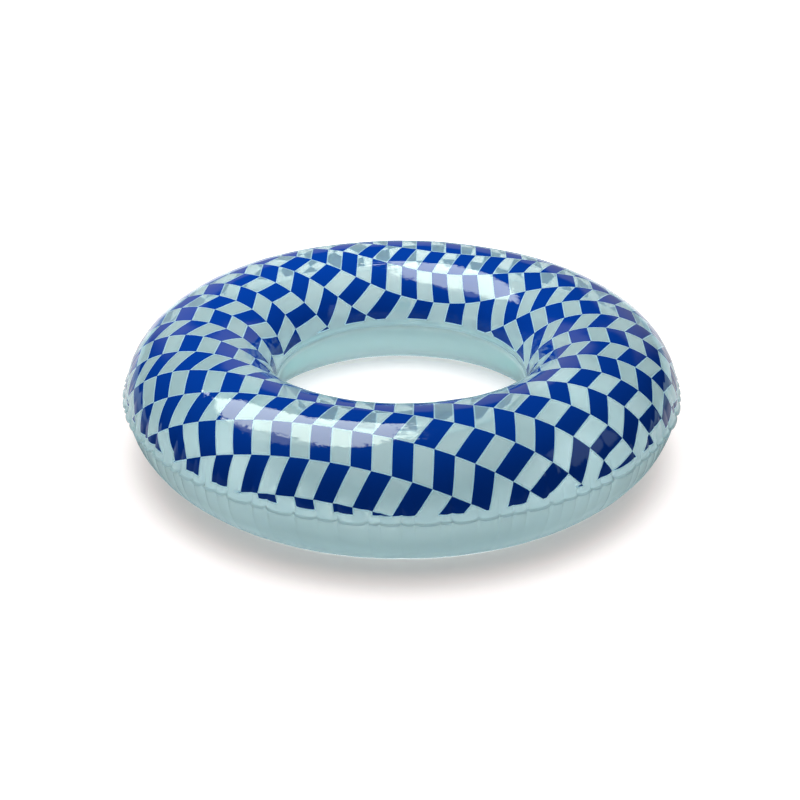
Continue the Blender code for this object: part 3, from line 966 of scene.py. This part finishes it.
def inside(shader, place, corners):
    """1 within a convex outline, listed anticlockwise, whose edge wavers by about a tenth of a unit."""
    inputs = {0: place, 1: (1.2, 0.45, 1.0), 2: (0.3, 0.1, 0.0)}
    drawn = shader.node("ShaderNodeVectorMath", inputs, operation="MULTIPLY_ADD").outputs[0]
    inputs = {"Vector": drawn, "Scale": 24.0, "Detail": 5.0, "Roughness": 0.75}
    ragged = shader.node("ShaderNodeTexNoise", inputs).outputs["Fac"]
    edge = None
    for here, ahead in zip(corners, corners[1:] + corners[:1]):
        side = np.array([here[1] - ahead[1], ahead[0] - here[0]])
        side = side / np.linalg.norm(side)
        inputs = {0: place, 1: (*side.tolist(), 0.0)}
        reach = shader.node("ShaderNodeVectorMath", inputs, operation="DOT_PRODUCT").outputs["Value"]
        reach = shader.math("SUBTRACT", reach, float(side @ np.array(here)))
        edge = reach if edge is None else shader.math("MINIMUM", edge, reach)
    edge = shader.math("ADD", edge, shader.math("MULTIPLY_ADD", ragged, 0.64, -0.32))
    inputs = {"Value": edge, "From Min": -0.003, "From Max": 0.003}
    return shader.node("ShaderNodeMapRange", inputs).outputs[0]


def card_material(name, coordinates, tint, patches):
    """A faintly glowing card with brighter patches, each given by its corners and its radiance."""
    material, shader, surface = new_material(name)
    place = shader.place(coordinates)
    layers = [(inside(shader, place, corners), radiance) for corners, radiance in patches]
    shader.feed(surface, shader.glow(tint, shader.total(CARD_BASE, *layers)))
    material.cycles.emission_sampling = "NONE"
    return material


def stage_sheet(name, corners, material):
    """A flat four-cornered part of the stage, with its card map running once across it each way."""
    mesh = bpy.data.meshes.new(name)
    mesh.from_pydata(corners, [], [(0, 1, 2, 3)])
    layer = mesh.uv_layers.new(name="card")
    layer.uv.foreach_set("vector", [0.0, 0.0, 1.0, 0.0, 1.0, 1.0, 0.0, 1.0])
    mesh.materials.append(material)
    sheet = bpy.data.objects.new(name, mesh)
    bpy.context.scene.collection.objects.link(sheet)
    return sheet


def gloss_card(name, corners, material):
    """A sheet of the stage that only gloss can see."""
    card = stage_sheet(name, corners, material)
    card.visible_camera = False
    card.visible_diffuse = False
    card.visible_transmission = False
    card.visible_shadow = False


def level_corners(low, high, height):
    """Corners of a level rectangle, anticlockwise, from its low and high ones in x and y."""
    (left, front), (right, back) = low, high
    return [(left, front, height), (right, front, height), (right, back, height), (left, back, height)]


def area_lamp(name, place, width, depth, radiance, spin=0.0):
    """A rectangular softbox that faces down with the given radiance and that gloss can't see."""
    data = bpy.data.lights.new(name, "AREA")
    data.shape = "RECTANGLE"
    data.size, data.size_y = width, depth
    data.energy = radiance * math.pi * width * depth
    lamp = bpy.data.objects.new(name, data)
    lamp.location = place
    lamp.rotation_euler = (0.0, 0.0, spin)
    lamp.visible_glossy = False
    bpy.context.scene.collection.objects.link(lamp)
    return lamp


def set_linked(lamp, receiver, state):
    """Limits a lamp to one object, or keeps it off that object."""
    chosen = bpy.data.collections.new(lamp.name + " receivers")
    chosen.objects.link(receiver)
    chosen.collection_objects[0].light_linking.link_state = state
    lamp.light_linking.receiver_collection = chosen


def floor_material():
    """White paper: shadowed near the ring, plain white to the eye further out, and dim to gloss.

    Near the ring a painted shade darkens it beyond the ring's own shadow, and the eye sees it greyer through
    a film, also a painted shade. Under the tube and in the hole it glows, a painted light that stands for the
    light that the films scatter. Gloss sees pale strips of it, which paint reflections on the films: round
    the foot, beside the ring, in the hole and at the back.
    """
    material, shader, surface = new_material("white floor")
    band, strip, times = shader.band, shader.strip, shader.times
    place = shader.place()
    away = shader.node("ShaderNodeVectorMath", {0: place}, operation="LENGTH").outputs["Value"]
    x, y, _ = shader.split(place)
    across = shader.math("ABSOLUTE", x)
    path = shader.node("ShaderNodeLightPath").outputs
    seen = shader.math("MAXIMUM", path["Is Camera Ray"], path["Is Transmission Ray"])
    through = shader.math("GREATER_THAN", path["Transparent Depth"], 0.5)

    # The paper's colour to the eye, plain and through a film: near the ring a darker, warmer painted shade,
    # and through a film a painted grey, lighter under the tube, in the hole and behind the ring.
    shaded = strip(away, (0.47, 0.41), (0.22, 0.32))
    direct = shader.mix(shaded, (1.0, 0.90, 0.87), (0.78, 0.655, 0.61))
    under_tube = strip(away, (0.20, 0.28), (0.47, 0.40))
    in_hole = times(band(away, 0.22, 0.14), 0.24)
    behind = times(band(y, 0.42, 0.95), shader.math("MULTIPLY_ADD", band(x, -0.42, -0.12), 0.55, 0.45))
    hole_back = times(band(away, 0.27, 0.20), band(y, 0.0, 0.12), 0.7)
    open_floor = shader.math("MAXIMUM", shader.math("MAXIMUM", in_hole, behind), hole_back)
    beyond = shader.mix(open_floor, (0.42, 0.42, 0.42), (1.0, 0.95, 0.93))
    to_eye = shader.mix(through, direct, shader.mix(under_tube, beyond, (0.90, 0.90, 0.90)))
    paper = shader.mix(seen, (0.34, 0.34, 0.34), to_eye)
    matt = shader.node("ShaderNodeBsdfDiffuse", {"Color": paper}).outputs[0]

    # The painted glow, light that the paper gives off though it is no lamp: to the eye it lifts the shadow,
    # more through a film, and brings the floor further out to white; to other light it glows under the tube,
    # for what the films scatter.
    near = times(strip(away, (0.20, 0.28), (0.35, 0.28)), band(y, 0.16, -0.06))
    from_right = shader.math("MULTIPLY_ADD", shader.math("MAXIMUM", x, 0.0), -0.8, y)
    sides = times(band(across, 0.12, 0.32), band(away, 0.47, 0.42), band(from_right, 0.12, -0.04))
    back = times(strip(away, (0.22, 0.30), (0.42, 0.36)), band(y, 0.06, 0.20))
    eye_glow = times(through, shader.total(behind, (near, 0.8), (back, 0.6), (sides, 0.9)), HIDDEN_GLOW)
    hole = times(band(away, 0.31, 0.25), shader.math("SUBTRACT", 1.0, through))
    eye_glow = shader.total(eye_glow, (hole, 0.25))
    lift = shader.total(FLOOR_LIFT, (band(away, 0.60, 1.1), 0.70))
    lift = shader.choose(seen, times(under_tube, UNDER_GLOW), shader.math("ADD", lift, eye_glow))
    lit = shader.node("ShaderNodeAddShader", {0: matt, 1: shader.glow((1.0, 1.0, 1.0), lift)}).outputs[0]

    # What gloss sees of it: a dim glow with brighter strips that paint reflections on the films, a white line
    # at their foot, pale rims beside the ring, a teal cast in the hole and paler floor towards the back.
    rim = strip(away, (0.284, 0.292), (0.388, 0.378))
    skirt = strip(away, (0.24, 0.29), (0.47, 0.42))
    beside = times(strip(across, (0.44, 0.52), (1.5, 0.8)), band(y, -0.20, 0.10))
    left, right = band(x, -0.35, -0.60), band(x, 0.35, 0.60)
    hole = band(away, 0.26, 0.20)
    half_way, far_back = band(y, -0.30, 0.10), band(y, 0.45, 0.80)
    layers = ((skirt, 0.50), (rim, 1.4), (left, 0.20), (right, 0.10), (beside, 0.65), (hole, 0.50))
    painted_reflection = shader.total(0.02, *layers, (half_way, 0.22), (far_back, 0.50))
    tint = shader.mix(rim, (0.62, 0.93, 1.0), (0.95, 1.0, 1.0))
    tint = shader.mix(hole, tint, (0.05, 1.0, 0.85))
    tint = shader.mix(beside, tint, (0.94, 0.97, 1.0))
    shader.feed(surface, shader.blend(path["Is Glossy Ray"], lit, shader.glow(tint, painted_reflection)))
    return material


def studio_world():
    """White to the eye, faint light from low down, and to gloss a dark room with a pale wall at the back."""
    world, shader, surface = empty_tree(bpy.data.worlds.new("studio"), "World")
    x, y, height = shader.split(shader.place("Generated"))
    path = shader.node("ShaderNodeLightPath").outputs
    wall = shader.strip(x, (-0.60, -0.40), (0.62, 0.42))
    wall = shader.times(wall, shader.band(height, 0.42, 0.34), shader.band(y, 0.0, 0.2))
    glossy = shader.math("MULTIPLY_ADD", wall, 0.40, 0.01)
    diffuse = shader.math("MULTIPLY_ADD", shader.band(height, 0.35, 0.08), 0.25, 0.15)
    strength = shader.choose(path["Is Glossy Ray"], diffuse, glossy)
    seen = shader.math("MAXIMUM", path["Is Camera Ray"], path["Is Transmission Ray"])
    strength = shader.choose(seen, strength, 1.0)
    background = shader.node("ShaderNodeBackground", {"Color": (1.0, 1.0, 1.0), "Strength": strength})
    shader.feed(surface, background.outputs[0])
    return world


class SWIMRING_OT_stage(bpy.types.Operator):
    """Adds the floor, the softboxes, the white surroundings and the camera"""

    bl_idname = "swim_ring.stage"
    bl_label = "Stage"

    def execute(self, context):
        scene = bpy.context.scene
        scene.view_settings.view_transform = "Standard"
        corners = level_corners((-FLOOR_REACH, -FLOOR_REACH), (FLOOR_REACH, FLOOR_REACH), FLOOR_LEVEL)
        floor = stage_sheet("studio_floor", corners, floor_material())
        scene.world = studio_world()
        above_left = (-0.46, 0.42, SOFTBOX_HEIGHT)
        spin = math.radians(45)
        softbox = area_lamp("overhead softbox", above_left, width=1.3, depth=1.55, radiance=4.2, spin=spin)
        set_linked(softbox, floor, "EXCLUDE")
        paper_lamp = area_lamp("paper lamp", (0.0, 0.0, 3.0), width=5.0, depth=5.0, radiance=2.6)
        set_linked(paper_lamp, floor, "INCLUDE")
        patches = ((SOFTBOX_DIM, SOFTBOX_DIM_RADIANCE), (SOFTBOX_FACE, SOFTBOX_RADIANCE))
        face = card_material("softbox face", "Object", SOFTBOX_TINT, patches)
        gloss_card("softbox_face", level_corners(*SOFTBOX_SHEET, SOFTBOX_HEIGHT), face)
        side = card_material("side card", "UV", SIDE_TINT, ((SIDE_PATCH, SIDE_RADIANCE),))
        gloss_card("side_card", SIDE_SHEET, side)
        camera = bpy.data.cameras.new("camera")
        camera.sensor_width = CAMERA_SENSOR
        camera.lens = CAMERA_LENS
        viewer = bpy.data.objects.new("camera", camera)
        viewer.location = CAMERA_PLACE
        viewer.rotation_euler = (math.radians(CAMERA_TILT), 0.0, 0.0)
        scene.collection.objects.link(viewer)
        scene.camera = viewer
        return {"FINISHED"}


OPERATORS = (
    SWIMRING_OT_upper_film,
    SWIMRING_OT_lower_film,
    SWIMRING_OT_outer_lip,
    SWIMRING_OT_inner_lip,
    SWIMRING_OT_valve_turnings,
    SWIMRING_OT_valve_sleeve,
    SWIMRING_OT_plug_strap,
    SWIMRING_OT_check_flap,
    SWIMRING_OT_stage,
)


class SWIMRING_PT_sidebar(bpy.types.Panel):
    """Lists the ring's pieces and its stage"""

    bl_idname = "SWIMRING_PT_sidebar"
    bl_label = "Swim Ring"
    bl_space_type = "VIEW_3D"
    bl_region_type = "UI"
    bl_category = "Swim Ring"

    def draw(self, context):
        for group in (settings().ring, settings().pucker, settings().print, settings().finish):
            column = self.layout.column(align=True)
            for name in group.bl_rna.properties.keys():
                if name not in ("rna_type", "name"):
                    column.prop(group, name)
        for operator in OPERATORS:
            self.layout.operator(operator.bl_idname)


CLASSES = (RingSizes, PuckerSizes, PrintSizes, Finishes, RingSettings, *OPERATORS, SWIMRING_PT_sidebar)


def register():
    for item in CLASSES:
        bpy.utils.register_class(item)
    bpy.types.Scene.swim_ring = PointerProperty(type=RingSettings)


def unregister():
    del bpy.types.Scene.swim_ring
    for item in reversed(CLASSES):
        bpy.utils.unregister_class(item)


def main():
    register()
    for operator in OPERATORS:
        group, name = operator.bl_idname.split(".")
        getattr(getattr(bpy.ops, group), name)()


if __name__ == "__main__":
    main()
